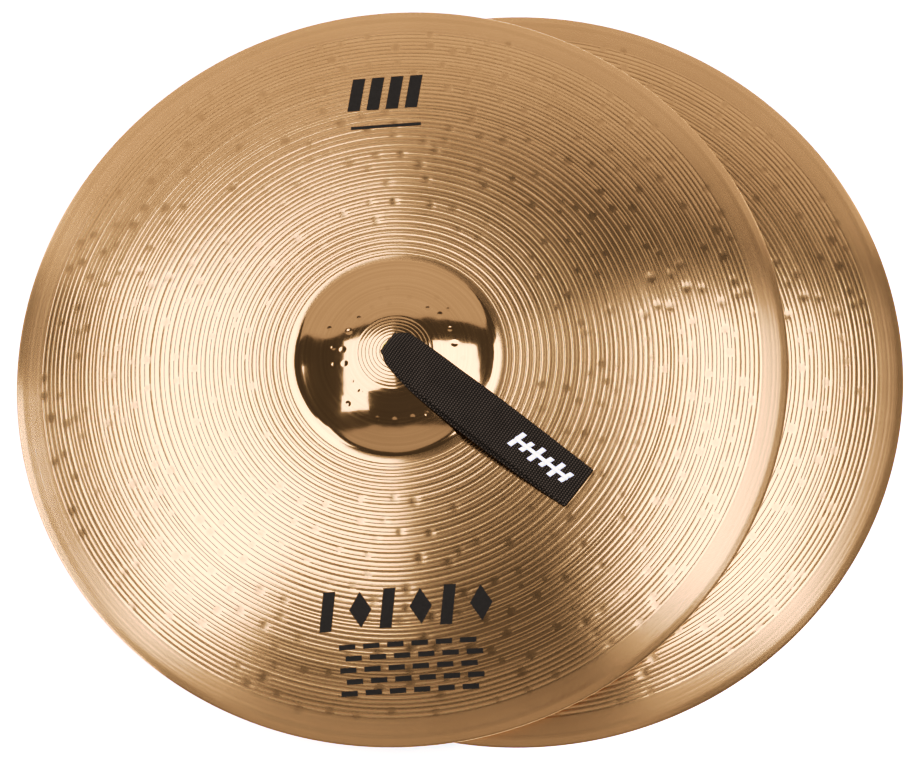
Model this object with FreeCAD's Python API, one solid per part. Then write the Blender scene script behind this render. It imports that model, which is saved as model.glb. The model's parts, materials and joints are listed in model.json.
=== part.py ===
import FreeCAD, Part
import math
import os

# A pair of 18 inch hand cymbals stacked on a table, with their webbing hand straps.
# Millimetres, +Z up, floor at z = 0, origin under the centre of the pair.
# Each cymbal is drawn once in its own frame (rim plane at z = 0, bell upwards,
# strap lying along +X) and then placed twice.

# ---------------------------------------------------------------- cymbal plate
CYMBAL_D = 457.2        # 18 in across the rim
PLATE_R = CYMBAL_D / 2
BOW_RISE = 21.8         # climb of the bow from the rim towards the centre
BOW_EXP = 3.0           # how late the bow turns down towards the edge
EDGE_T = 1.1            # metal height above the rim plane at the edge
BELL_R = 60.0           # foot of the bell
BELL_TOP_Z = 36.1       # crown of the bell
FILLET_IN = 56.0        # soft turn from bell to bow starts here
FILLET_OUT = 64.5       # and ends here
BEVEL_W = 4.5           # outermost band, turned down a little
RIM_T = 0.75            # metal left at the very edge
REST_W = 1.0            # flat ring of the rim that stands on the table
T_CROWN = 1.8           # sheet thickness at the hole
T_MID = 1.4             # ... at MID_R
MID_R = 100.0
T_EDGE = 1.15           # ... inside the bevel
HOLE_R = 6.3
RIM_ROUND = 0.25        # broken edge above the rim
REST_ROUND = 0.2        # ... and below it

# ---------------------------------------------------------------- grommet, washers, pin
GROMMET_BORE_R = 5.5
GROMMET_BARREL_R = 6.2
GROMMET_FLANGE_R = 7.6
FLANGE_Z0 = 36.0
FLANGE_Z1 = 36.4
GROMMET_LIP = 0.15
FLARE_R = 6.9
FLARE_Z0 = 32.8
FLARE_T = 0.3
RING_R = 9.0            # set ring under the bell
RING_Z1 = 33.95
RING_T = 0.7
FELT_BORE_R = 9.4
FELT_R = 17.0
FELT_Z0 = 30.2
FELT_GAP = 0.1
DISC_R = 14.0
DISC_BORE_R = 5.3
DISC_Z1 = 29.9
DISC_T = 1.9
DISC_CHAMFER = 0.4
PIN_R = 1.6
PIN_LEN = 20.0
PIN_Z = 26.3
PIN_CHAMFER = 0.35
SNUG = 0.05             # play between pieces that sit in each other

# ---------------------------------------------------------------- strap
WEB_T = 1.2             # one ply of webbing
WEB_W = 27.0            # width of the webbing where it lies flat
ROOT_W = 22.4           # width where it curls out of the hole
NOSE_W = 13.0
TAIL_R = 5.0            # gathered webbing inside the grommet
TAIL_FOLDS = 6
TAIL_SLIT = 0.25
TAIL_TOP_Z = 36.3
EYE_R = 4.4
EYE_W = 8.4
EYE_DROP = 0.2          # the eye widens only this far below the disc
FOLD_X = -3.5           # hinge line of the strap at the mouth of the hole
FOLD_Z = 37.93
NOSE_R = 1.3
STRAP_END = 135.0       # closed end of the loop
FLAT_X = 55.0           # full width from here on
# underside of the lower ply, along the strap
STRAP_BED = [(8.0, 36.62), (16.0, 36.0), (30.0, 34.3), (60.0, 30.0), (100.0, 24.4), (STRAP_END, 18.95)]
PATH_STEPS = 26         # points along the smooth path of the strap
TIP_ROUND = 1.3         # bulge of the closed end
PLY_GAP = 0.2           # between the plies at root and tip
LOOP_OPEN = 3.2         # extra opening half way along
SLOT_X0 = 3.0
SLOT_X1 = 132.4

# ---------------------------------------------------------------- mark on the strap
MARK_T = 0.2
MARK_X0 = 88.0
MARK_X1 = 126.0
MARK_W = 11.0
MARK_BAR = 3.0
MARK_BARS = 6
MARK_SPINE = 2.2
MARK_LEAN = 1.6         # sideways lean of each bar's end
MARK_STEP = 1.5         # every other bar is this much shorter at each end
MARK_LIFT = 0.02

# ---------------------------------------------------------------- how the pair lies
LEAN = 3.65             # the upper cymbal leans, left rim on the table
OFFSET = 69.15          # distance between the two centres
RIM_LIFT = 0.3          # play between the upper rim and the table
STRAP_AZ = -40.0        # both straps point towards the front right

Z = FreeCAD.Vector(0, 0, 1)
Y = FreeCAD.Vector(0, 1, 0)
O = FreeCAD.Vector(0, 0, 0)


def v(x, y, z):
    return FreeCAD.Vector(x, y, z)


def bow_z(r):
    return EDGE_T + BOW_RISE * (1 - (r / PLATE_R) ** BOW_EXP)


def bell_z(r):
    foot = bow_z(BELL_R)
    return BELL_TOP_Z - (BELL_TOP_Z - foot) * (r / BELL_R) ** 2


def slope(fn, r):
    return (fn(r + 0.01) - fn(r - 0.01)) / 0.02


def fillet_z(r):
    w = FILLET_OUT - FILLET_IN
    t = (r - FILLET_IN) / w
    a, b = bell_z(FILLET_IN), bow_z(FILLET_OUT)
    ma, mb = slope(bell_z, FILLET_IN) * w, slope(bow_z, FILLET_OUT) * w
    return ((2 * t ** 3 - 3 * t ** 2 + 1) * a + (t ** 3 - 2 * t ** 2 + t) * ma
            + (-2 * t ** 3 + 3 * t ** 2) * b + (t ** 3 - t ** 2) * mb)


def top_z(r):
    if r < FILLET_IN:
        return bell_z(r)
    if r < FILLET_OUT:
        return fillet_z(r)
    return bow_z(r)


def sheet(r):
    if r < MID_R:
        return T_CROWN + (T_MID - T_CROWN) * r / MID_R
    return T_MID + (T_EDGE - T_MID) * (r - MID_R) / (PLATE_R - BEVEL_W - MID_R)


def under_point(r):
    s = slope(top_z, r)
    n = math.hypot(1, s)
    t = sheet(r)
    return v(r + t * s / n, 0, top_z(r) - t / n)


def under_z(r):
    # height of the underside straight below radius r
    q = r
    for _ in range(6):
        q += r - under_point(q).x
    return under_point(q).z


def spline(points):
    c = Part.BSplineCurve()
    c.interpolate(points)
    return c.toShape()


def line(a, b):
    return Part.makeLine(a, b)


def ring(r0, r1, z0, z1):
    s = Part.makeCylinder(r1, z1 - z0, v(0, 0, z0))
    return s.cut(Part.makeCylinder(r0, z1 - z0 + 2, v(0, 0, z0 - 1)))


def revolve(edges):
    face = Part.Face(Part.Wire(Part.__sortEdges__(edges)))
    return face.revolve(O, Z, 360)


def steps(a, b, n):
    return [a + (b - a) * i / n for i in range(n + 1)]


def cymbal_plate():
    bevel_r = PLATE_R - BEVEL_W
    zones = [(HOLE_R, FILLET_IN, 10), (FILLET_IN, FILLET_OUT, 8), (FILLET_OUT, bevel_r, 18)]
    top, under = [], []
    for a, b, n in zones:
        top.append(spline([v(r, 0, top_z(r)) for r in steps(a, b, n)]))
        pts = [under_point(r) for r in steps(a, b, n)]
        if a == HOLE_R:
            pts[0] = v(HOLE_R, 0, under_z(HOLE_R))
        under.append(spline(pts))
    rim = [
        v(bevel_r, 0, top_z(bevel_r)),
        v(PLATE_R - RIM_ROUND, 0, RIM_T),
        v(PLATE_R, 0, RIM_T - RIM_ROUND),
        v(PLATE_R, 0, REST_ROUND),
        v(PLATE_R - REST_ROUND, 0, 0),
        v(PLATE_R - REST_ROUND - REST_W, 0, 0),
        under_point(bevel_r),
    ]
    edges = top + under
    edges += [line(p, q) for p, q in zip(rim, rim[1:])]
    edges.append(line(v(HOLE_R, 0, top_z(HOLE_R)), v(HOLE_R, 0, under_z(HOLE_R))))
    return revolve(edges)


def grommet():
    p = [
        v(GROMMET_BORE_R + GROMMET_LIP, 0, FLANGE_Z1),
        v(GROMMET_FLANGE_R - GROMMET_LIP, 0, FLANGE_Z1),
        v(GROMMET_FLANGE_R, 0, FLANGE_Z1 - GROMMET_LIP),
        v(GROMMET_FLANGE_R, 0, FLANGE_Z0),
        v(GROMMET_BARREL_R, 0, FLANGE_Z0),
        v(GROMMET_BARREL_R, 0, FLARE_Z0 + FLARE_T),
        v(FLARE_R, 0, FLARE_Z0 + FLARE_T),
        v(FLARE_R, 0, FLARE_Z0),
        v(GROMMET_BORE_R, 0, FLARE_Z0),
        v(GROMMET_BORE_R, 0, FLANGE_Z1 - GROMMET_LIP),
    ]
    return revolve([line(a, b) for a, b in zip(p, p[1:] + p[:1])])


def grommet_ring():
    return ring(GROMMET_BARREL_R + SNUG, RING_R, RING_Z1 - RING_T, RING_Z1)


def felt_washer():
    rs = steps(FELT_BORE_R, FELT_R, 4)
    crown = [v(r, 0, under_z(r) - FELT_GAP) for r in rs]
    edges = [spline(crown)]
    a, b = v(FELT_BORE_R, 0, FELT_Z0), v(FELT_R, 0, FELT_Z0)
    edges += [line(a, b), line(b, crown[-1]), line(a, crown[0])]
    return revolve(edges)


def retainer_disc():
    s = ring(DISC_BORE_R, DISC_R, DISC_Z1 - DISC_T, DISC_Z1)
    rims = [e for e in s.Edges if abs(e.BoundBox.XMax - DISC_R) < 0.01 and e.Closed]
    return s.makeChamfer(DISC_CHAMFER, rims)


def anchor_pin():
    s = Part.makeCylinder(PIN_R, PIN_LEN, v(0, -PIN_LEN / 2, PIN_Z), Y)
    return s.makeChamfer(PIN_CHAMFER, [e for e in s.Edges if e.Closed])


def strap_tails():
    # webbing gathered in zigzag folds to pass the hole, looped round the pin below
    disc_z0 = DISC_Z1 - DISC_T
    tall = TAIL_TOP_Z
    s = Part.makeCylinder(TAIL_R, TAIL_TOP_Z - PIN_Z, v(0, 0, PIN_Z))
    pitch = 2 * TAIL_R / TAIL_FOLDS
    for i in range(1, TAIL_FOLDS):
        x = -TAIL_R + i * pitch - TAIL_SLIT / 2
        y = -TAIL_R - 1 if i % 2 else -TAIL_R + pitch
        depth = 2 * TAIL_R + 1 - pitch
        s = s.cut(Part.makeBox(TAIL_SLIT, depth, tall, v(x, y, disc_z0 + EYE_DROP)))
    eye = Part.makeCylinder(EYE_R, EYE_W, v(0, -EYE_W / 2, PIN_Z), Y)
    below_disc = Part.makeBox(tall, tall, tall, v(-tall / 2, -tall / 2, disc_z0 - EYE_DROP - tall))
    s = s.fuse(eye.common(below_disc))
    s = s.cut(Part.makeCylinder(PIN_R + SNUG, PIN_LEN, v(0, -PIN_LEN / 2, PIN_Z), Y))
    return s.removeSplitter()


def opening(x):
    t = (x - SLOT_X0) / (SLOT_X1 - SLOT_X0)
    t = min(1.0, max(0.0, t))
    return PLY_GAP + LOOP_OPEN * math.sin(math.pi * t) ** 1.5


def offset_path(pts, lift):
    # points shifted square to the path by lift(x)
    out = []
    for i, (x, z) in enumerate(pts):
        x0, z0 = pts[max(i - 1, 0)]
        x1, z1 = pts[min(i + 1, len(pts) - 1)]
        n = math.hypot(x1 - x0, z1 - z0)
        h = lift(x)
        out.append(v(x - h * (z1 - z0) / n, 0, z + h * (x1 - x0) / n))
    return out


def smooth_bed():
    # the bed as a smooth run of points from the root to the tip
    c = Part.BSplineCurve()
    c.interpolate([v(FOLD_X, 0, FOLD_Z - NOSE_R)] + [v(x, 0, z) for x, z in STRAP_BED])
    a, b = c.FirstParameter, c.LastParameter
    return [(p.x, p.z) for p in (c.value(t) for t in steps(a, b, PATH_STEPS))]


def strap_outline():
    # plan of the loop: rounded nose at the hole, full width from a third of the way
    half = [
        (FOLD_X - 1.5 * NOSE_R, NOSE_W / 2),
        (FOLD_X + 2 * NOSE_R, ROOT_W / 2),
        (FLAT_X / 2, (ROOT_W + WEB_W) / 4),
        (FLAT_X, WEB_W / 2),
        (STRAP_END + WEB_W, WEB_W / 2),
    ]
    pts = [v(x, y, 0) for x, y in half] + [v(x, -y, 0) for x, y in reversed(half)]
    face = Part.Face(Part.makePolygon(pts + pts[:1]))
    return face.extrude(v(0, 0, 2 * FOLD_Z))


def strap_loop():
    bed = smooth_bed()
    total = 2 * WEB_T
    low = [v(x, 0, z) for x, z in bed]
    high = offset_path(bed, lambda x: total + opening(x))
    high[0] = v(FOLD_X, 0, FOLD_Z + NOSE_R)
    end_mid = (low[-1] + high[-1]) * 0.5 + v(TIP_ROUND, 0, -PLY_GAP)
    nose = Part.Arc(low[0], v(FOLD_X - NOSE_R, 0, FOLD_Z), high[0]).toShape()
    tip = Part.Arc(high[-1], end_mid, low[-1]).toShape()
    side = Part.Face(Part.Wire(Part.__sortEdges__([spline(low), tip, spline(high), nose])))
    body = side.extrude(v(0, 2 * WEB_W, 0))
    body.translate(v(0, -WEB_W, 0))
    inner = [p for p in bed if SLOT_X0 <= p[0] <= SLOT_X1]
    slot_low = offset_path(inner, lambda x: WEB_T)
    slot_high = offset_path(inner, lambda x: WEB_T + opening(x))
    slot = Part.Face(Part.Wire(Part.__sortEdges__([
        spline(slot_low), line(slot_low[-1], slot_high[-1]),
        spline(slot_high), line(slot_high[0], slot_low[0])])))
    hollow = slot.extrude(v(0, 2 * WEB_W, 0))
    hollow.translate(v(0, -WEB_W, 0))
    return body.cut(hollow).common(strap_outline())


def strap_mark():
    # a printed comb of slanted bars on one spine, following the top of the loop
    bed = smooth_bed()
    low = offset_path(bed, lambda x: 2 * WEB_T + opening(x) + MARK_LIFT)
    high = offset_path(bed, lambda x: 2 * WEB_T + opening(x) + MARK_LIFT + MARK_T)
    shell = Part.Face(Part.Wire(Part.__sortEdges__([
        spline(low), line(low[-1], high[-1]), spline(high), line(high[0], low[0])])))
    shell = shell.extrude(v(0, WEB_W, 0))
    shell.translate(v(0, -WEB_W / 2, 0))
    tall = 2 * FOLD_Z
    plan = Part.makeBox(MARK_X1 - MARK_X0, MARK_SPINE, tall, v(MARK_X0, -MARK_SPINE / 2, 0))
    pitch = (MARK_X1 - MARK_X0 - MARK_BAR) / (MARK_BARS - 1)
    for i in range(MARK_BARS):
        x = MARK_X0 + i * pitch
        h = MARK_W / 2 - MARK_STEP * (i % 2)
        p = [v(x - MARK_LEAN, -h, 0), v(x + MARK_BAR - MARK_LEAN, -h, 0),
             v(x + MARK_BAR + MARK_LEAN, h, 0), v(x + MARK_LEAN, h, 0)]
        plan = plan.fuse(Part.Face(Part.makePolygon(p + p[:1])).extrude(v(0, 0, tall)))
    return shell.common(plan.removeSplitter())


STRAP_PIECES = {
    "retainer_disc": retainer_disc,
    "anchor_pin": anchor_pin,
    "strap_tails": strap_tails,
    "strap_loop": strap_loop,
    "strap_mark": strap_mark,
}
PLATE_PIECES = {
    "cymbal": cymbal_plate,
    "grommet": grommet,
    "grommet_ring": grommet_ring,
    "felt_washer": felt_washer,
}

lean = math.radians(LEAN)
half_span = (PLATE_R + OFFSET + PLATE_R * math.cos(lean)) / 2
LOWER_X = half_span - PLATE_R
SEATS = {
    "lower": FreeCAD.Placement(v(LOWER_X, 0, 0), FreeCAD.Rotation(Y, 0)),
    "upper": FreeCAD.Placement(v(LOWER_X - OFFSET, 0, PLATE_R * math.sin(lean) + RIM_LIFT),
                               FreeCAD.Rotation(Y, -LEAN)),
}

os.makedirs("parts", exist_ok=True)
shapes = {}
for name, make in list(PLATE_PIECES.items()) + list(STRAP_PIECES.items()):
    shape = make()
    if shape.Volume < 0:
        shape.reverse()
    if len(shape.Solids) == 1:
        shape = shape.Solids[0]
    if name in STRAP_PIECES:
        shape.rotate(O, Z, STRAP_AZ)
    shapes[name] = shape

for side, seat in SEATS.items():
    for name, shape in shapes.items():
        placed = shape.copy()
        placed.Placement = seat.multiply(placed.Placement)
        placed.exportStep("parts/%s_%s.step" % (side, name))
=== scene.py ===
import json
import math

import bpy
import numpy as np
from mathutils import Euler, Matrix, Vector


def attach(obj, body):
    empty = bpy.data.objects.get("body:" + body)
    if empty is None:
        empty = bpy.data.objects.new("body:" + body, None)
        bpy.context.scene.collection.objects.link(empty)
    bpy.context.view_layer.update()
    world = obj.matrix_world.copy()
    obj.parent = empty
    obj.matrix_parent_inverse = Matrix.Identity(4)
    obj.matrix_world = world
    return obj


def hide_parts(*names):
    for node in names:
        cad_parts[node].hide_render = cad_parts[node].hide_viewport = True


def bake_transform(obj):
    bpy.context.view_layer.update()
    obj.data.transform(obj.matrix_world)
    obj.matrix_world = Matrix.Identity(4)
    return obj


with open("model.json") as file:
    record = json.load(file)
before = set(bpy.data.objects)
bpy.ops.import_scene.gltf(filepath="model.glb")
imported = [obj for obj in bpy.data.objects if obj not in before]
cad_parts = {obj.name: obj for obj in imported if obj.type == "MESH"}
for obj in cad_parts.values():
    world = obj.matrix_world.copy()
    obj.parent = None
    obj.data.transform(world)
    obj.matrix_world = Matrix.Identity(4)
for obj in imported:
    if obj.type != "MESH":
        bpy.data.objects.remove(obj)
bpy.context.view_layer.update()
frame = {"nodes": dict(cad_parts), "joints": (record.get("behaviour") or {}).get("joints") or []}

# A stacked pair of hand cymbals. Each plate, strap and washer is built once in its own
# local frame, in metres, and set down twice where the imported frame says.

MM = 0.001
JOINTS = {j["name"]: j for j in frame["joints"]}
RNG = np.random.default_rng(18)

# ---------------------------------------------------------------- plate, millimetres
PLATE_R = 228.6
BOW_RISE, BOW_EXP, EDGE_T = 21.8, 3.0, 1.1
BELL_R, BELL_TOP_Z = 60.0, 36.1
FILLET_IN, FILLET_OUT = 56.0, 64.5
BEVEL_W, RIM_T, REST_W = 4.5, 0.75, 1.0
RIM_ROUND, REST_ROUND = 0.25, 0.2
T_CROWN, T_MID, MID_R, T_EDGE = 1.8, 1.4, 100.0, 1.15
HOLE_R = 6.3
LATHE_OUT = 213.0       # the turned field ends here; a smoother band follows
BELL_EDGE = 60.5        # the polish of the bell ends here
SEGMENTS = 720
BELL, FIELD, EDGE, GROOVE = range(4)   # material slots of a plate

GROOVE_W = 0.30         # half width of one turned groove
CROWN_GROOVES = (8.6, 21.6, 2.15)   # first, last and step of the fine rings round the hole
FIELD_START = 64.8      # the widely spaced grooves of the inner bow
FIELD_STEP0, FIELD_STEP1 = 3.8, 6.2
FIELD_END = 148.0
OUTER_STEP = 1.8         # the least gap of the outer grooves, which are unevenly spaced
OUTER_SPREAD = 1.3
EDGE_GROOVES = (214.4, 219.4, 221.8, 223.7)

DENT_ROWS = (88, 99, 110, 121, 130, 139, 148, 157, 166, 175, 184, 193, 202, 210)
DENT_STEP = 17.0        # between the hammer marks of one row
DENT_SIGMA = 2.5
INNER_ROWS = 145.0      # marks inside this radius are lighter
HOLLOW = 0.06           # a mark this deep is missed by the lathe
BELL_DENT_ROWS = (30.5, 35.5, 41.0)
BELL_DENT_STEP = 10.0
BELL_DENT_SIGMA = 1.45

# ---------------------------------------------------------------- strap, millimetres
WEB_T, WEB_W = 1.2, 27.0
ROOT_W, NOSE_W, BORE_W = 22.4, 13.0, 8.6
STRAP_BED = [(8.0, 36.62), (16.0, 36.0), (30.0, 34.3), (60.0, 30.0), (100.0, 24.4), (135.0, 18.95)]
PLY_GAP, LOOP_OPEN = 0.2, 3.2
PIN_Z, EYE_R = 26.3, 2.9        # the run passes round the pin on this radius
FOLD_X = -3.5
WEAVE = 1.6                     # one rib of the weave
PRINT_X0, PRINT_STEP, PRINT_BAR = 88.0, 7.0, 3.0
SPINE = 1.1                     # half width of the print's spine

# ---------------------------------------------------------------- studio, metres
FLOOR_HALF = 6.0
FILL_LEVEL = 1.15               # what the room gives matt surfaces
DARK_LEVEL = 0.08               # what glossy surfaces see between the panels
LEFT_LEVEL = 1.88
RIGHT_LEVEL = 2.05
SIDE_LEVEL = 3.0
BACK_LEVEL = 0.64
FRONT_LEVEL = 0.48
LOW_LEVEL = 0.8
WHITE = (1.0, 1.0, 1.0)
WARM = (1.0, 0.94, 0.90)
# how the picture lifts green (1) and blue (2) in its highlights, as film does
LIFTS = {1: ((0.32, 0.32), (0.45, 0.53), (0.60, 0.72), (0.80, 0.89)),
         2: ((0.14, 0.14), (0.20, 0.32), (0.28, 0.53), (0.40, 0.70), (0.70, 0.90))}

CAMERA_LENS = 178.67
CAMERA_AIM = (0.0005, -0.0028, 0.0)
CAMERA_DISTANCE = 2.710
CAMERA_ELEVATION = 71.42
CAMERA_HEADING = 0.256
CAMERA_ROLL = -2.932

# ---------------------------------------------------------------- metal colours
BRONZE_DEEP = (0.72, 0.430, 0.198)
BRONZE_PALE = (0.88, 0.532, 0.250)
EDGE_TINT = (1.0, 0.84, 0.68, 1.0)   # keeps the metal warm where it is seen edge on
HOLLOW_SHADE = 0.82                   # painted shade: how far a hammer mark darkens the colour


# ================================================================ frames
def matrix_of(x, y, z, origin):
    m = Matrix((x, y, z)).transposed().to_4x4()
    m.translation = origin
    return m


def plate_frame(side):
    # rim plane at local z = 0, crown up the swivel's axis
    swivel = JOINTS[side + "_strap_swivel"]
    z = Vector(swivel["axis"]).normalized()
    y = Vector((0, 1, 0))
    return matrix_of(y.cross(z), y, z, Vector(swivel["pos_m"]) - z * 36.0 * MM)


def strap_frame(side):
    # as the plate's frame, with the strap lying along local x
    m = plate_frame(side)
    z = m.to_3x3().col[2]
    x = z.cross(Vector(JOINTS[side + "_strap_fold"]["axis"])).normalized()
    return matrix_of(x, z.cross(x), z, m.translation)


def place(name, mesh, where):
    obj = bpy.data.objects.new(name, mesh)
    bpy.context.scene.collection.objects.link(obj)
    obj.matrix_world = where
    return obj


def closed_grid(rows, columns, flip=False):
    # the quads of a grid of vertices that joins up both ways
    i = np.arange(rows)[:, None]
    j = np.arange(columns)[None, :]
    a = i * columns + j
    b = i * columns + (j + 1) % columns
    c = ((i + 1) % rows) * columns + (j + 1) % columns
    d = ((i + 1) % rows) * columns + j
    order = (a, d, c, b) if flip else (a, b, c, d)
    return np.stack(order, -1).reshape(-1, 4)


def add_mesh(name, verts, faces, where):
    mesh = bpy.data.meshes.new(name)
    verts = np.asarray(verts, float) * MM
    mesh.from_pydata([tuple(p) for p in verts], [], [tuple(f) for f in faces])
    mesh.validate()
    mesh.polygons.foreach_set("use_smooth", [True] * len(mesh.polygons))
    mesh.update()
    return place(name, mesh, where)


# ================================================================ plate shape
def bow_z(r):
    return EDGE_T + BOW_RISE * (1 - (r / PLATE_R) ** BOW_EXP)


def bell_z(r):
    return BELL_TOP_Z - (BELL_TOP_Z - bow_z(BELL_R)) * (r / BELL_R) ** 2


def slope(fn, r):
    return (fn(r + 0.01) - fn(r - 0.01)) / 0.02


def top_z(r):
    r = np.asarray(r, float)
    w = FILLET_OUT - FILLET_IN
    t = np.clip((r - FILLET_IN) / w, 0, 1)
    a, b = bell_z(FILLET_IN), bow_z(FILLET_OUT)
    ma, mb = slope(bell_z, FILLET_IN) * w, slope(bow_z, FILLET_OUT) * w
    turn = ((2 * t**3 - 3 * t**2 + 1) * a + (t**3 - 2 * t**2 + t) * ma
            + (-2 * t**3 + 3 * t**2) * b + (t**3 - t**2) * mb)
    z = np.where(r < FILLET_IN, bell_z(r), np.where(r < FILLET_OUT, turn, bow_z(r)))
    bevel = PLATE_R - BEVEL_W
    end = PLATE_R - RIM_ROUND
    down = bow_z(bevel) + (RIM_T - bow_z(bevel)) * (r - bevel) / (end - bevel)
    return np.where(r > bevel, down, z)


def sheet(r):
    inner = T_CROWN + (T_MID - T_CROWN) * r / MID_R
    outer = T_MID + (T_EDGE - T_MID) * (r - MID_R) / (PLATE_R - BEVEL_W - MID_R)
    return np.where(r < MID_R, inner, outer)


def groove_radii():
    first, last, step = CROWN_GROOVES
    out = [(r, 0.030) for r in np.arange(first, last, step)]
    r = FIELD_START
    while r < FIELD_END:
        share = (r - FIELD_START) / (FIELD_END - FIELD_START)
        gap = FIELD_STEP0 + (FIELD_STEP1 - FIELD_STEP0) * share
        out.append((r, 0.080))
        out.append((r + gap / 2, 0.020 + 0.016 * RNG.random()))
        r += gap
    while r < LATHE_OUT:
        out.append((r, 0.040 + 0.042 * RNG.random()))
        r += OUTER_STEP + OUTER_SPREAD * RNG.random()
    out += [(r, 0.012) for r in EDGE_GROOVES]
    return out


def ring_radii(grooves):
    # rings of vertices: three to a groove, and a plain step between
    rs = [HOLE_R]
    for g, _ in grooves:
        rs += [g - GROOVE_W, g, g + GROOVE_W]
    rs += list(np.arange(24, 67, 1.3)) + list(np.arange(28.6, 45, 1.3))
    rs = sorted(rs + [PLATE_R - BEVEL_W, 226.0, PLATE_R - RIM_ROUND])
    full = [rs[0]]
    for r in rs[1:]:
        gap = r - full[-1]
        if gap < 0.12:
            continue
        n = max(1, math.ceil(gap / 1.6))
        full += [full[-1] + gap * (i + 1) / n for i in range(n)]
    full[-1] = PLATE_R - RIM_ROUND
    return np.array(full)


def scatter(row, pitch, left_out, turn_spread, row_spread):
    # places about one pitch apart round a row, with some left out
    count = int(2 * math.pi * row / pitch)
    turn = RNG.random() * 2 * math.pi
    for i in range(count):
        if RNG.random() < left_out:
            continue
        a = turn + 2 * math.pi * (i + RNG.normal(0, turn_spread)) / count
        r = row + RNG.normal(0, row_spread)
        yield r * math.cos(a), r * math.sin(a)


def dent_list():
    # (x, y, depth, spread) of each hammer mark
    out = []
    for row in DENT_ROWS:
        share = 1.0 if row > INNER_ROWS else 0.7
        for x, y in scatter(row, DENT_STEP, 0.40, 0.16, 1.6):
            deep = (0.04 + 0.055 * RNG.random()) * share
            out.append((x, y, deep, DENT_SIGMA * (0.85 + 0.3 * RNG.random())))
    for row in BELL_DENT_ROWS:
        for x, y in scatter(row, BELL_DENT_STEP, 0.45, 0.1, 0.8):
            out.append((x, y, 0.09 + 0.06 * RNG.random(), BELL_DENT_SIGMA))
    return out


def press(x, y, dents):
    # how far every dent lowers the points of a grid, whose rows are rings
    drop = np.zeros_like(x)
    rows_r = np.hypot(x[:, 0], y[:, 0])
    for dx, dy, deep, spread in dents:
        r = math.hypot(dx, dy)
        near = np.abs(rows_r - r) < 3 * spread
        d2 = (x[near] - dx) ** 2 + (y[near] - dy) ** 2
        drop[near] += deep * np.exp(-(d2 / spread**2) ** 1.6)
    return drop


def plate_mesh_data():
    # a closed grid of rings: out over the top, round the rim and back under
    grooves = groove_radii()
    dents = dent_list()
    angle = np.linspace(0, 2 * math.pi, SEGMENTS, endpoint=False)
    ca, sa = np.cos(angle), np.sin(angle)

    def surface(rs, z, side):
        # the lathe cuts less where the metal is hammered hollow
        x, y = np.outer(rs, ca), np.outer(rs, sa)
        cut = np.zeros(len(rs))
        for g, deep in grooves:
            cut += deep * np.clip(1 - np.abs(rs - g) / GROOVE_W, 0, 1)
        zz = np.repeat(z[:, None], SEGMENTS, 1)
        drop = press(x, y, dents)
        hollow = np.clip(drop / HOLLOW, 0, 1)
        return np.stack([x, y, zz - drop - side * cut[:, None] * (1 - 0.85 * hollow)], -1), hollow

    top_r = ring_radii(grooves)
    top, top_hollow = surface(top_r, top_z(top_r), 1.0)
    under_r = np.concatenate([np.arange(HOLE_R, FILLET_IN, 2.4), np.arange(FILLET_IN, 66, 1.2),
                              np.arange(66, PLATE_R - BEVEL_W, 1.9)])
    s = np.array([slope(lambda q: float(top_z(q)), r) for r in under_r])
    n = np.hypot(1, s)
    shift = sheet(under_r)
    shifted = under_r + shift * s / n
    shifted[0] = HOLE_R
    under_z = top_z(under_r) - shift / n
    under, under_hollow = surface(shifted, under_z, -0.4)
    rim_r = np.array([PLATE_R, PLATE_R, PLATE_R - REST_ROUND, PLATE_R - REST_ROUND - REST_W])
    rim_z = np.array([RIM_T - RIM_ROUND, REST_ROUND, 0.0, 0.0])
    rim = np.stack([np.outer(rim_r, ca), np.outer(rim_r, sa), np.repeat(rim_z[:, None], SEGMENTS, 1)], -1)
    rings = np.concatenate([top, rim, under[::-1]])
    rim_hollow = np.zeros((len(rim_r), SEGMENTS))
    hollow = np.concatenate([top_hollow, rim_hollow, under_hollow[::-1]]).ravel()
    radius = np.concatenate([top_r, rim_r, shifted[::-1]])
    faces = closed_grid(len(rings), SEGMENTS, flip=True)
    mid = (radius + np.roll(radius, -1)) / 2
    zone = np.where(mid < BELL_EDGE, BELL, np.where(mid < LATHE_OUT, FIELD, EDGE))
    for g, _ in grooves:
        if g < LATHE_OUT:
            zone[:len(top_r)][np.abs(mid[:len(top_r)] - g) < GROOVE_W] = GROOVE
    zone = np.repeat(zone, SEGMENTS)
    zone[(zone == GROOVE) & (hollow[faces].mean(1) > 0.5)] = FIELD
    return rings.reshape(-1, 3), faces, zone, hollow


def grid_mesh(name, verts, faces):
    # the quick way in for a large quad mesh
    mesh = bpy.data.meshes.new(name)
    mesh.vertices.add(len(verts))
    mesh.vertices.foreach_set("co", (verts * MM).astype(np.float32).ravel())
    mesh.loops.add(faces.size)
    mesh.loops.foreach_set("vertex_index", faces.astype(np.int32).ravel())
    mesh.polygons.add(len(faces))
    mesh.polygons.foreach_set("loop_start", np.arange(0, faces.size, 4, dtype=np.int32))
    mesh.polygons.foreach_set("use_smooth", np.ones(len(faces), bool))
    mesh.update()
    mesh.validate()
    return mesh


# ================================================================ node helpers
def new_material(name):
    m = bpy.data.materials.new(name)
    m.use_nodes = True
    nt = m.node_tree
    return m, nt, nt.nodes["Principled BSDF"]


def node(nt, kind, **settings):
    n = nt.nodes.new(kind)
    for key, value in settings.items():
        setattr(n, key, value)
    return n


def math_node(nt, op, a, b=None):
    n = node(nt, "ShaderNodeMath", operation=op)
    for i, value in enumerate((a, b)):
        if value is None:
            continue
        if isinstance(value, (int, float)):
            n.inputs[i].default_value = value
        else:
            nt.links.new(value, n.inputs[i])
    return n.outputs[0]


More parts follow.
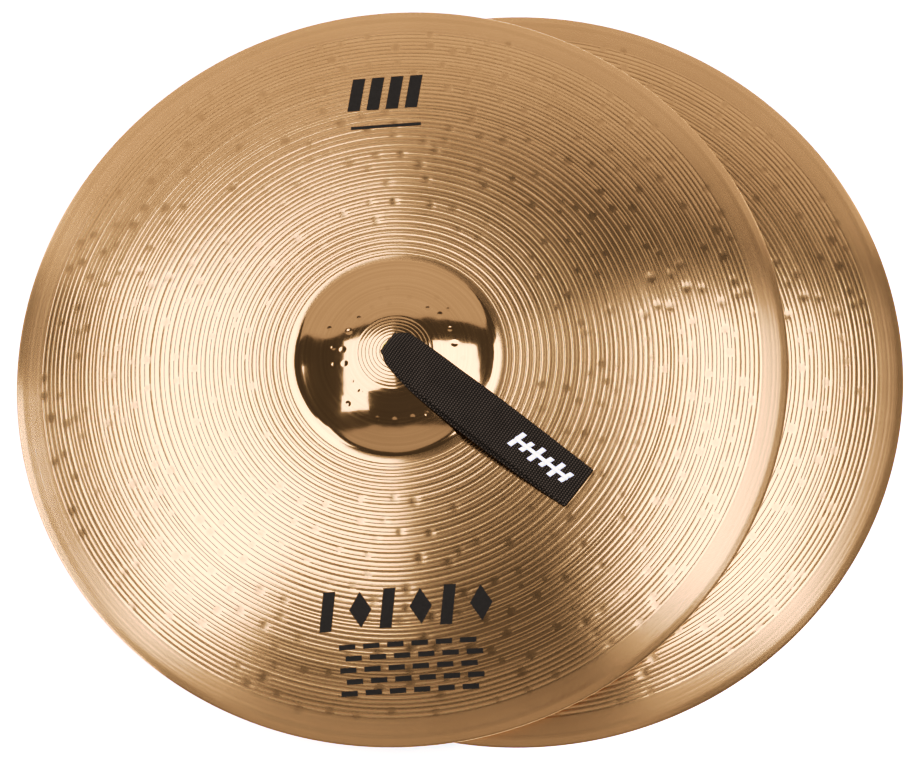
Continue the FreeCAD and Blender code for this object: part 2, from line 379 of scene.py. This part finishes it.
def map_range(nt, value, a, b, c, d):
    n = node(nt, "ShaderNodeMapRange")
    nt.links.new(value, n.inputs["Value"])
    for key, v in (("From Min", a), ("From Max", b), ("To Min", c), ("To Max", d)):
        n.inputs[key].default_value = v
    return n.outputs[0]


def ramp(nt, value, stops):
    n = node(nt, "ShaderNodeValToRGB")
    while len(n.color_ramp.elements) < len(stops):
        n.color_ramp.elements.new(0.5)
    for e, (pos, col) in zip(n.color_ramp.elements, stops):
        e.position = pos
        e.color = (*col, 1)
    nt.links.new(value, n.inputs[0])
    return n.outputs[0]


def noise(nt, vector, scale, detail=3.0, rough=0.5, dims="3D"):
    n = node(nt, "ShaderNodeTexNoise", noise_dimensions=dims)
    n.inputs["Scale"].default_value = scale
    n.inputs["Detail"].default_value = detail
    n.inputs["Roughness"].default_value = rough
    if dims == "1D":
        nt.links.new(vector, n.inputs["W"])
    else:
        nt.links.new(vector, n.inputs["Vector"])
    return n.outputs["Fac"]


def object_coords(nt):
    return node(nt, "ShaderNodeTexCoord").outputs["Object"]


def radius_of(nt, coords):
    # distance from the local z axis, in metres
    split = node(nt, "ShaderNodeSeparateXYZ")
    nt.links.new(coords, split.inputs[0])
    xx = math_node(nt, "MULTIPLY", split.outputs[0], split.outputs[0])
    yy = math_node(nt, "MULTIPLY", split.outputs[1], split.outputs[1])
    return math_node(nt, "SQRT", math_node(nt, "ADD", xx, yy))


def bump(nt, height, strength, distance):
    n = node(nt, "ShaderNodeBump")
    n.inputs["Strength"].default_value = strength
    n.inputs["Distance"].default_value = distance
    nt.links.new(height, n.inputs["Height"])
    return n.outputs[0]


# ================================================================ materials
def blend_of(nt, *parts):
    # the sum of (value, share) parts
    total = None
    for value, share in parts:
        part = math_node(nt, "MULTIPLY", value, share)
        total = part if total is None else math_node(nt, "ADD", total, part)
    return total


def bronze(name, rough_low, rough_high, anisotropy, line_bump, tint=1.0, wave=0.0, shade_in_hollows=HOLLOW_SHADE):
    # turned or polished bronze: faint rings of tone and gloss, round the plate's axis
    m, nt, bsdf = new_material(name)
    coords = object_coords(nt)
    r = radius_of(nt, coords)
    fine = noise(nt, r, 620.0, 1.5, 0.6, "1D")
    wide = noise(nt, r, 140.0, 2.0, 0.5, "1D")
    cloud = noise(nt, coords, 22.0, 2.0, 0.6)
    tone = blend_of(nt, (fine, 0.45), (wide, 0.25), (cloud, 0.30))
    # tint darkens the whole colour; for the grooves it is painted shade
    deep, pale = [tuple(c * tint for c in col) for col in (BRONZE_DEEP, BRONZE_PALE)]
    colour = ramp(nt, tone, [(0.30, deep), (0.72, pale)])
    # painted shade: the colour is darkened where a hammer mark is hollow
    mark = node(nt, "ShaderNodeAttribute", attribute_name="hollow").outputs["Fac"]
    hollow_shading = node(nt, "ShaderNodeVectorMath", operation="SCALE")
    nt.links.new(colour, hollow_shading.inputs[0])
    nt.links.new(map_range(nt, mark, 0.2, 1.0, 1.0, shade_in_hollows), hollow_shading.inputs["Scale"])
    nt.links.new(hollow_shading.outputs[0], bsdf.inputs["Base Color"])
    nt.links.new(map_range(nt, tone, 0.3, 0.7, rough_low, rough_high), bsdf.inputs["Roughness"])
    bsdf.inputs["Metallic"].default_value = 1.0
    bsdf.inputs["Specular Tint"].default_value = EDGE_TINT
    if anisotropy:
        bsdf.inputs["Anisotropic"].default_value = anisotropy
        bsdf.inputs["Anisotropic Rotation"].default_value = 0.25
        tangent = node(nt, "ShaderNodeTangent", direction_type="RADIAL", axis="Z")
        nt.links.new(tangent.outputs[0], bsdf.inputs["Tangent"])
    if line_bump:
        nt.links.new(bump(nt, fine, line_bump, 0.00006), bsdf.inputs["Normal"])
    if wave:
        slow = noise(nt, coords, 70.0, 1.0, 0.5)
        nt.links.new(bump(nt, slow, wave, 0.0006), bsdf.inputs["Normal"])
    return m


def brass():
    m, nt, bsdf = new_material("bright_brass")
    coords = object_coords(nt)
    wear = noise(nt, coords, 260.0, 5.0, 0.65)
    nt.links.new(ramp(nt, wear, [(0.3, (0.62, 0.40, 0.11)), (0.7, (0.93, 0.68, 0.27))]),
                 bsdf.inputs["Base Color"])
    nt.links.new(map_range(nt, wear, 0.3, 0.7, 0.12, 0.30), bsdf.inputs["Roughness"])
    nt.links.new(bump(nt, wear, 0.15, 0.0001), bsdf.inputs["Normal"])
    bsdf.inputs["Metallic"].default_value = 1.0
    return m


def steel():
    m, nt, bsdf = new_material("pin_steel")
    coords = object_coords(nt)
    stretch = node(nt, "ShaderNodeMapping")
    stretch.inputs["Scale"].default_value = (1.0, 0.08, 1.0)
    nt.links.new(coords, stretch.inputs["Vector"])
    grain = noise(nt, stretch.outputs[0], 900.0, 4.0, 0.6)
    nt.links.new(ramp(nt, grain, [(0.3, (0.42, 0.42, 0.43)), (0.7, (0.66, 0.66, 0.67))]),
                 bsdf.inputs["Base Color"])
    nt.links.new(map_range(nt, grain, 0.3, 0.7, 0.22, 0.42), bsdf.inputs["Roughness"])
    nt.links.new(bump(nt, grain, 0.2, 0.00005), bsdf.inputs["Normal"])
    bsdf.inputs["Metallic"].default_value = 1.0
    return m


def leather():
    m, nt, bsdf = new_material("disc_leather")
    coords = object_coords(nt)
    cells = node(nt, "ShaderNodeTexVoronoi", feature="DISTANCE_TO_EDGE")
    cells.inputs["Scale"].default_value = 900.0
    nt.links.new(coords, cells.inputs["Vector"])
    blotch = noise(nt, coords, 180.0, 4.0, 0.6)
    nt.links.new(ramp(nt, blotch, [(0.3, (0.018, 0.011, 0.008)), (0.75, (0.055, 0.032, 0.022))]),
                 bsdf.inputs["Base Color"])
    nt.links.new(map_range(nt, blotch, 0.3, 0.7, 0.45, 0.65), bsdf.inputs["Roughness"])
    nt.links.new(bump(nt, cells.outputs["Distance"], 0.5, 0.0002), bsdf.inputs["Normal"])
    return m


def felt():
    m, nt, bsdf = new_material("wool_felt")
    coords = object_coords(nt)
    fibre = noise(nt, coords, 1400.0, 6.0, 0.75)
    cloud = noise(nt, coords, 160.0, 3.0, 0.5)
    mix = blend_of(nt, (fibre, 0.6), (cloud, 0.4))
    nt.links.new(ramp(nt, mix, [(0.3, (0.16, 0.15, 0.135)), (0.7, (0.40, 0.38, 0.34))]),
                 bsdf.inputs["Base Color"])
    bsdf.inputs["Roughness"].default_value = 0.95
    bsdf.inputs["Sheen Weight"].default_value = 0.4
    nt.links.new(bump(nt, fibre, 0.7, 0.0005), bsdf.inputs["Normal"])
    return m


def webbing():
    # ribbed weave: u runs along the strap and v across it, both in millimetres; the rib relief is also
    # painted into the colour as highlight and shade
    m, nt, bsdf = new_material("ribbed_webbing_shaded")
    uv = node(nt, "ShaderNodeUVMap", uv_map="web")
    split = node(nt, "ShaderNodeSeparateXYZ")
    nt.links.new(uv.outputs[0], split.inputs[0])
    along = math_node(nt, "DIVIDE", split.outputs[0], WEAVE)
    rib = math_node(nt, "ABSOLUTE", math_node(nt, "SINE", math_node(nt, "MULTIPLY", along, math.pi)))
    offset = math_node(nt, "MULTIPLY", math_node(nt, "FLOOR", along), 0.5)
    across = math_node(nt, "ADD", math_node(nt, "DIVIDE", split.outputs[1], WEAVE * 0.86), offset)
    warp = math_node(nt, "ABSOLUTE", math_node(nt, "SINE", math_node(nt, "MULTIPLY", across, math.pi)))
    rib_height = math_node(nt, "POWER", rib, 0.8)
    warp_height = math_node(nt, "POWER", warp, 0.6)
    height = math_node(nt, "MULTIPLY", rib_height, warp_height)
    fuzz = noise(nt, object_coords(nt), 2200.0, 4.0, 0.7)
    cloud = noise(nt, object_coords(nt), 70.0, 3.0, 0.55)
    # painted highlight and painted shade: rib tops coloured lighter and the gaps between them darker, over a
    # random tone
    tone = blend_of(nt, (height, 0.74), (fuzz, 0.16), (cloud, 0.20))
    stops = [(0.28, (0.0012, 0.0010, 0.0009)), (0.60, (0.010, 0.0080, 0.0070)), (0.95, (0.076, 0.062, 0.055))]
    nt.links.new(ramp(nt, tone, stops), bsdf.inputs["Base Color"])
    nt.links.new(map_range(nt, fuzz, 0.3, 0.7, 0.60, 0.80), bsdf.inputs["Roughness"])
    bsdf.inputs["Specular IOR Level"].default_value = 0.22
    both = math_node(nt, "ADD", height, math_node(nt, "MULTIPLY", fuzz, 0.25))
    nt.links.new(bump(nt, both, 1.0, 0.0009), bsdf.inputs["Normal"])
    return m


def ink(name, low, high, rough):
    m, nt, bsdf = new_material(name)
    grain = noise(nt, object_coords(nt), 700.0, 4.0, 0.7)
    nt.links.new(ramp(nt, grain, [(0.35, low), (0.7, high)]), bsdf.inputs["Base Color"])
    nt.links.new(map_range(nt, grain, 0.3, 0.7, rough - 0.08, rough + 0.08), bsdf.inputs["Roughness"])
    bsdf.inputs["Specular IOR Level"].default_value = 0.25
    nt.links.new(bump(nt, grain, 0.2, 0.00005), bsdf.inputs["Normal"])
    return m


MAT = {
    "bell": bronze("polished_bell", 0.05, 0.12, 0.0, 0.0, 0.84, 0.25, 0.95),
    "field": bronze("turned_bronze", 0.14, 0.20, 0.85, 0.05),
    "edge": bronze("bright_edge", 0.23, 0.28, 0.85, 0.0, 0.96),
    # painted shade: the grooves are coloured darker than the field they are cut in
    "groove": bronze("groove_bronze_shaded", 0.36, 0.44, 0.85, 0.0, 0.80),
    "brass": brass(),
    "steel": steel(),
    "leather": leather(),
    "felt": felt(),
    "webbing": webbing(),
    "black_ink": ink("black_ink", (0.004, 0.004, 0.005), (0.009, 0.009, 0.010), 0.42),
    "white_print": ink("white_print", (0.58, 0.53, 0.47), (0.70, 0.64, 0.57), 0.55),
}


def finish_with(obj, *names):
    obj.data.materials.clear()
    for n in names:
        obj.data.materials.append(MAT[n])


# ================================================================ plates
def build_plates():
    verts, faces, zone, hollow = plate_mesh_data()
    mesh = grid_mesh("plate", verts, faces)
    mark = mesh.attributes.new("hollow", "FLOAT", "POINT")
    mark.data.foreach_set("value", hollow.astype(np.float32))
    for n in ("bell", "field", "edge", "groove"):
        mesh.materials.append(MAT[n])
    mesh.polygons.foreach_set("material_index", zone.astype(np.int32))
    for side in ("lower", "upper"):
        obj = place(side + "_plate", mesh, plate_frame(side))
        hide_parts(side + "_cymbal")
        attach(obj, side + "_plate")


# ================================================================ printed marks
INK_LIFT = 0.10
INK_CELL = 1.5


def patch(corners, verts, faces, height):
    # a four-cornered patch, cut fine enough to follow the plate
    p = [np.array(c, float) for c in corners]
    nu = max(1, math.ceil(max(np.linalg.norm(p[1] - p[0]), np.linalg.norm(p[2] - p[3])) / INK_CELL))
    nv = max(1, math.ceil(max(np.linalg.norm(p[3] - p[0]), np.linalg.norm(p[2] - p[1])) / INK_CELL))
    base = len(verts)
    for j in range(nv + 1):
        for i in range(nu + 1):
            u, v = i / nu, j / nv
            q = (p[0] * (1 - u) + p[1] * u) * (1 - v) + (p[3] * (1 - u) + p[2] * u) * v
            verts.append((q[0], q[1], height(q[0], q[1])))
    for j in range(nv):
        for i in range(nu):
            a = base + j * (nu + 1) + i
            faces.append((a, a + 1, a + nu + 2, a + nu + 1))


def slanted_bar(x, y, w, h, lean):
    return [(x, y), (x + w, y), (x + w + lean, y + h), (x + lean, y + h)]


def on_plate(x, y):
    return float(top_z(math.hypot(x, y))) + INK_LIFT


def build_marks():
    # plain bars, diamonds and dashes, where a maker's print would be
    back, front = [], []
    for i in range(4):
        back.append(slanted_bar(-24 + 11.5 * i, 160, 7.5, 22, 4))
    back.append([(-22, 147.5), (20, 147.5), (20, 149.5), (-22, 149.5)])
    pitch = 17.5
    for i in range(6):
        x = -52 + pitch * i
        if i % 2:
            front.append([(x + 7, -160), (x + 13.5, -149.5), (x + 7, -139), (x + 0.5, -149.5)])
        else:
            front.append(slanted_bar(x, -161, 7.0, 23, 3.5))
    for row in range(5):
        for k in range(6):
            x = -41 + 14 * k + 3.5 * (row % 2)
            y = -169 - 6.6 * row
            front.append([(x, y - 3.0), (x + 9.5, y - 3.0), (x + 9.5, y), (x, y)])
    for name, quads in (("upper_back_mark", back), ("upper_front_mark", front)):
        verts, faces = [], []
        for q in quads:
            patch(q, verts, faces, on_plate)
        obj = add_mesh(name, verts, faces, plate_frame("upper"))
        finish_with(obj, "black_ink")
        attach(obj, "upper_plate")


# ================================================================ straps
def smooth_through(points, count):
    # a smooth closed or open run through the points, chord-length spaced
    p = np.array(points, float)
    s = np.concatenate([[0], np.cumsum(np.linalg.norm(np.diff(p, axis=0), axis=1))])
    m = np.gradient(p, s, axis=0)
    t = np.linspace(0, s[-1], count)
    k = np.clip(np.searchsorted(s, t, side="right") - 1, 0, len(s) - 2)
    h = (s[k + 1] - s[k])[:, None]
    u = ((t - s[k]) / (s[k + 1] - s[k]))[:, None]
    return ((2 * u**3 - 3 * u**2 + 1) * p[k] + (u**3 - 2 * u**2 + u) * h * m[k]
            + (-2 * u**3 + 3 * u**2) * p[k + 1] + (u**3 - u**2) * h * m[k + 1])


BED = smooth_through([(FOLD_X, 36.63)] + STRAP_BED, 200)


def bed_z(x):
    return np.interp(x, BED[:, 0], BED[:, 1])


def opening(x):
    t = np.clip((x - 3.0) / (132.4 - 3.0), 0, 1)
    return PLY_GAP + LOOP_OPEN * np.sin(math.pi * t) ** 1.5


def root_lift(x, crown):
    # the upper ply stands up a little where it leaves the hole
    return crown * np.exp(-((x - 2.0) / 16.0) ** 2)


def strap_path(crown):
    # one closed run of webbing: round the pin, up, over, out to the tip and back
    low = [(x, float(bed_z(x)) + WEB_T / 2) for x in (10, 16, 24, 34, 46, 60, 75, 90, 105, 118, 128)]
    high = [(x, z + WEB_T + float(opening(x)) + float(root_lift(x, crown))) for x, z in low]
    tip_z = float(bed_z(133)) + WEB_T
    tip = [(132.6, tip_z + 0.95), (133.9, tip_z + 0.1), (132.6, tip_z - 0.55)]
    over = [(-EYE_R, 30.0), (-EYE_R, 33.5), (-3.3, 36.2), (-5.3, 37.3 + 0.2 * crown),
            (-5.4, 38.3 + 0.7 * crown), (-2.6, 38.7 + crown), (3.0, 38.65 + crown)]
    back = [(5.2, 37.15), (3.4, 36.4), (EYE_R, 33.5), (EYE_R, 30.0)]
    # half round the pin, to the hundredth of a millimetre that the other points have
    turns = [-math.pi / 4 * i for i in range(5)]
    eye = [(round(EYE_R * math.cos(a), 2), round(PIN_Z + EYE_R * math.sin(a), 2)) for a in turns]
    run = over + high + tip + low[::-1] + back + eye
    run.append(run[0])
    return run


def width_at(x, z):
    # full width of the webbing at a point of its path
    if z < 35.5 and x < 9:
        return BORE_W
    if x < 0:
        return float(np.interp(x, [-5.4, -2.6, 0.0], [NOSE_W, 19.0, ROOT_W - 0.6]))
    return float(np.interp(x, [0, 8, 27, 55, 200], [ROOT_W + 0.4, ROOT_W + 2.0, 26.2, WEB_W, WEB_W]))


def build_strap(side, crown):
    path = smooth_through(strap_path(crown), 420)[:-1]
    n = len(path)
    steps = np.linalg.norm(np.roll(path, -1, 0) - path, axis=1)
    length = np.concatenate([[0], np.cumsum(steps)])
    ahead = np.roll(path, -1, 0) - np.roll(path, 1, 0)
    ahead /= np.linalg.norm(ahead, axis=1)[:, None]
    out = np.stack([-ahead[:, 1], ahead[:, 0]], 1)
    widths = np.array([width_at(x, z) for x, z in path])
    kernel = np.hanning(15)
    kernel /= kernel.sum()
    widths = np.convolve(np.concatenate([widths[-7:], widths, widths[:7]]), kernel, "valid")
    # across the webbing: where each vertex lies, and the half thickness, which is less at the edges
    w = np.concatenate([[-1, -0.985, -0.95], np.linspace(-0.88, 0.88, 19), [0.95, 0.985, 1]])
    half_t = WEB_T / 2 * np.array([0.25, 0.62, 0.9] + [1.0] * 19 + [0.9, 0.62, 0.25])
    tight = np.clip((WEB_W - widths) / (WEB_W - BORE_W), 0, 1)
    pleat = 0.55 * np.clip(tight - 0.45, 0, 1)[:, None] * np.sin(3.2 * math.pi * w)[None, :]
    near_root = np.exp(-((path[:, 0] - 2) / 22.0) ** 2) * (path[:, 1] > 36.5)
    droop = -(crown * 0.9 * near_root)[:, None] * (np.abs(w) ** 2.2)[None, :]
    y = widths[:, None] / 2 * w[None, :]
    under = (out[:, 1] < 0) & (path[:, 0] > 8)
    aside = 1.6 * np.exp(-((path[:, 0] + 2) / 28.0) ** 2) * np.clip((path[:, 1] - 36.0) / 2.0, 0, 1)
    aside -= 2.2 * under * np.sin(math.pi * np.clip((path[:, 0] - 8) / 126, 0, 1)) ** 0.7
    y = y + aside[:, None]
    centre = pleat + np.where(out[:, 1:] > 0, droop, 0.0)
    outer = centre + half_t
    inner = centre - half_t

    def offset(h):
        x = path[:, :1] + out[:, :1] * h
        z = path[:, 1:] + out[:, 1:] * h
        return np.stack([x, y, z], -1)

    ring = np.concatenate([offset(outer), offset(inner)[:, ::-1]], 1)
    k = ring.shape[1]
    mesh = grid_mesh(side + "_webbing", ring.reshape(-1, 3), closed_grid(n, k))
    across = np.concatenate([w, w[::-1]]) * WEB_W / 2
    following = np.roll(across, -1)
    here, ahead_of_here = length[:n, None], length[1:, None]
    u = np.stack([np.broadcast_to(q, (n, k)) for q in (here, here, ahead_of_here, ahead_of_here)], -1)
    v = np.stack([np.broadcast_to(q, (n, k)) for q in (across, following, following, across)], -1)
    layer = mesh.uv_layers.new(name="web")
    layer.data.foreach_set("uv", np.stack([u, v], -1).astype(np.float32).ravel())
    where = strap_frame(side)
    obj = place(side + "_webbing", mesh, where)
    finish_with(obj, "webbing")
    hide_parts(side + "_strap_loop", side + "_strap_tails")
    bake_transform(obj)
    build_print(side, crown)


def build_print(side, crown):
    # raised white bars on one spine, on the top of the strap near its end
    def on_strap(x, y):
        return float(bed_z(x)) + 2 * WEB_T + float(opening(x)) + float(root_lift(x, crown)) + 0.22

    verts, faces = [], []
    end = PRINT_X0 + 5 * PRINT_STEP + PRINT_BAR
    patch([(PRINT_X0, -SPINE), (end, -SPINE), (end, SPINE), (PRINT_X0, SPINE)], verts, faces, on_strap)
    for i in range(6):
        x = PRINT_X0 + PRINT_STEP * i
        h = 5.5 - 1.5 * (i % 2)
        for y0, y1 in ((-h, -SPINE), (SPINE, h)):
            left, right = x + 1.6 * y0 / h, x + 1.6 * y1 / h
            bar = [(left, y0), (left + PRINT_BAR, y0), (right + PRINT_BAR, y1), (right, y1)]
            patch(bar, verts, faces, on_strap)
    obj = add_mesh(side + "_print", verts, faces, strap_frame(side))
    thick = obj.modifiers.new("thickness", "SOLIDIFY")
    thick.thickness = 0.2 * MM
    thick.offset = -1
    finish_with(obj, "white_print")
    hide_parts(side + "_strap_mark")
    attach(obj, side + "_strap")


# ================================================================ felt washers
def build_felt(side):
    # a ring whose outline is slightly uneven, as cut felt is
    low, high = 30.2, 33.6
    inner, outer = 9.4, 17.0
    outline = [(inner, low + 0.3), (inner + 0.4, low), (12, low), (15, low), (outer - 0.5, low),
               (outer, low + 0.5), (outer, 32.0), (outer - 0.3, 32.75), (15, 33.05), (12, 33.4),
               (inner + 0.4, high), (inner, 33.3)]
    segments = 96
    angle = np.linspace(0, 2 * math.pi, segments, endpoint=False)
    rs, zs = np.array(outline).T
    wobble = RNG.normal(0, 0.05, (len(rs), segments))
    r = rs[:, None] + wobble - 0.05
    verts = np.stack([r * np.cos(angle), r * np.sin(angle), zs[:, None] + wobble * 0.6], -1)
    mesh = grid_mesh(side + "_felt", verts.reshape(-1, 3), closed_grid(len(rs), segments))
    obj = place(side + "_felt", mesh, plate_frame(side))
    finish_with(obj, "felt")
    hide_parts(side + "_felt_washer")
    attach(obj, side + "_plate")


# ================================================================ CAD pieces that stay
def dress_hardware(side):
    wanted = {"grommet": "brass", "grommet_ring": "brass", "retainer_disc": "leather", "anchor_pin": "steel"}
    for piece, finish in wanted.items():
        obj = frame["nodes"][side + "_" + piece]
        finish_with(obj, finish)
        soft = obj.modifiers.new("soft_edges", "BEVEL")
        soft.width = 0.12 * MM
        soft.segments = 2
        soft.limit_method = "ANGLE"
        soft.angle_limit = math.radians(40)
        obj.modifiers.new("even_normals", "WEIGHTED_NORMAL")


# ================================================================ studio
def add_area(name, across, along, level, colour, turn=(0, 0, 0), flat=2.4):
    # across and along are the ends of a panel on its own plane, which is overhead unless turned;
    # level is the brightness of its face
    light = bpy.data.lights.new(name, "AREA")
    light.shape = "RECTANGLE"
    light.size, light.size_y = across[1] - across[0], along[1] - along[0]
    light.energy = level * math.pi * light.size * light.size_y
    light.color = colour
    spin = Euler(turn).to_matrix().to_4x4()
    centre = Vector(((across[0] + across[1]) / 2, (along[0] + along[1]) / 2, flat))
    place(name, light, spin @ Matrix.Translation(centre))


def build_floor():
    floor = bpy.data.meshes.new("floor")
    s = FLOOR_HALF
    floor.from_pydata([(-s, -s, 0), (s, -s, 0), (s, s, 0), (-s, s, 0)], [], [(0, 1, 2, 3)])
    obj = place("floor", floor, Matrix.Identity(4))
    m, nt, bsdf = new_material("pale_floor")
    tone = noise(nt, object_coords(nt), 6.0, 2.0, 0.5)
    nt.links.new(ramp(nt, tone, [(0.3, (0.93, 0.93, 0.93)), (0.7, (0.96, 0.96, 0.96))]),
                 bsdf.inputs["Base Color"])
    bsdf.inputs["Roughness"].default_value = 0.9
    bsdf.inputs["Emission Color"].default_value = (1, 1, 1, 1)
    bsdf.inputs["Emission Strength"].default_value = 0.25
    obj.data.materials.append(m)


def build_world():
    # even fill for matt surfaces, and a dark surround for glossy ones
    world = bpy.data.worlds.new("studio")
    bpy.context.scene.world = world
    world.use_nodes = True
    nt = world.node_tree
    back = nt.nodes["Background"]
    path = nt.nodes.new("ShaderNodeLightPath")
    level = nt.nodes.new("ShaderNodeMapRange")
    nt.links.new(path.outputs["Is Glossy Ray"], level.inputs["Value"])
    level.inputs["To Min"].default_value = FILL_LEVEL
    level.inputs["To Max"].default_value = DARK_LEVEL
    nt.links.new(level.outputs[0], back.inputs["Strength"])
    back.inputs["Color"].default_value = (1, 0.99, 0.97, 1)


def build_lights():
    # large soft panels: overhead left and right and in front, with walls behind and at the sides
    upright = math.radians(90)
    add_area("left_panel", (-1.70, -0.36), (-0.02, 1.44), LEFT_LEVEL, WHITE)
    add_area("left_corner", (-1.80, -1.00), (-0.45, -0.02), LEFT_LEVEL, WHITE)
    add_area("right_panel", (0.44, 1.50), (-0.60, 1.08), RIGHT_LEVEL, WHITE)
    add_area("front_panel", (-1.95, 1.00), (-2.10, -0.83), FRONT_LEVEL, WARM)
    add_area("back_wall", (-2.8, 2.8), (-2.7, 0.0), BACK_LEVEL, WARM, (-upright, 0, 0), 2.0)
    add_area("low_left", (0.0, 1.1), (-3.0, 3.0), LOW_LEVEL, WHITE, (0, -upright, 0), 3.0)
    add_area("low_right", (-1.1, 0.0), (-3.0, 3.0), LOW_LEVEL, WHITE, (0, upright, 0), 3.0)
    add_area("low_front", (-3.0, 3.0), (0.0, 1.1), LOW_LEVEL, WHITE, (upright, 0, 0), 3.0)
    add_area("side_wall", (1.2, 1.85), (-1.6, 1.0), SIDE_LEVEL, WHITE, (0, -upright, 0), 2.6)


def build_camera():
    # long lens from high in front, as the object is shown
    cam = bpy.data.cameras.new("camera")
    cam.sensor_width = 36.0
    cam.lens = CAMERA_LENS
    cam.clip_end = 50
    heading = Matrix.Rotation(math.radians(CAMERA_HEADING), 4, "Z")
    tilt = Matrix.Rotation(math.radians(90 - CAMERA_ELEVATION), 4, "X")
    roll = Matrix.Rotation(math.radians(CAMERA_ROLL), 4, "Z")
    away = Matrix.Translation((0, 0, CAMERA_DISTANCE))
    where = Matrix.Translation(CAMERA_AIM) @ heading @ tilt @ roll @ away
    bpy.context.scene.camera = place("camera", cam, where)


def set_display():
    view = bpy.context.scene.view_settings
    view.view_transform = "Standard"
    view.use_curve_mapping = True
    for channel, points in LIFTS.items():
        for x, y in points:
            view.curve_mapping.curves[channel].points.new(x, y)
    view.curve_mapping.update()


set_display()
build_camera()
build_floor()
build_world()
build_lights()
build_plates()
build_marks()
for side, crown in (("lower", 0.0), ("upper", 2.2)):
    build_strap(side, crown)
    build_felt(side)
    dress_hardware(side)

bpy.context.view_layer.update()
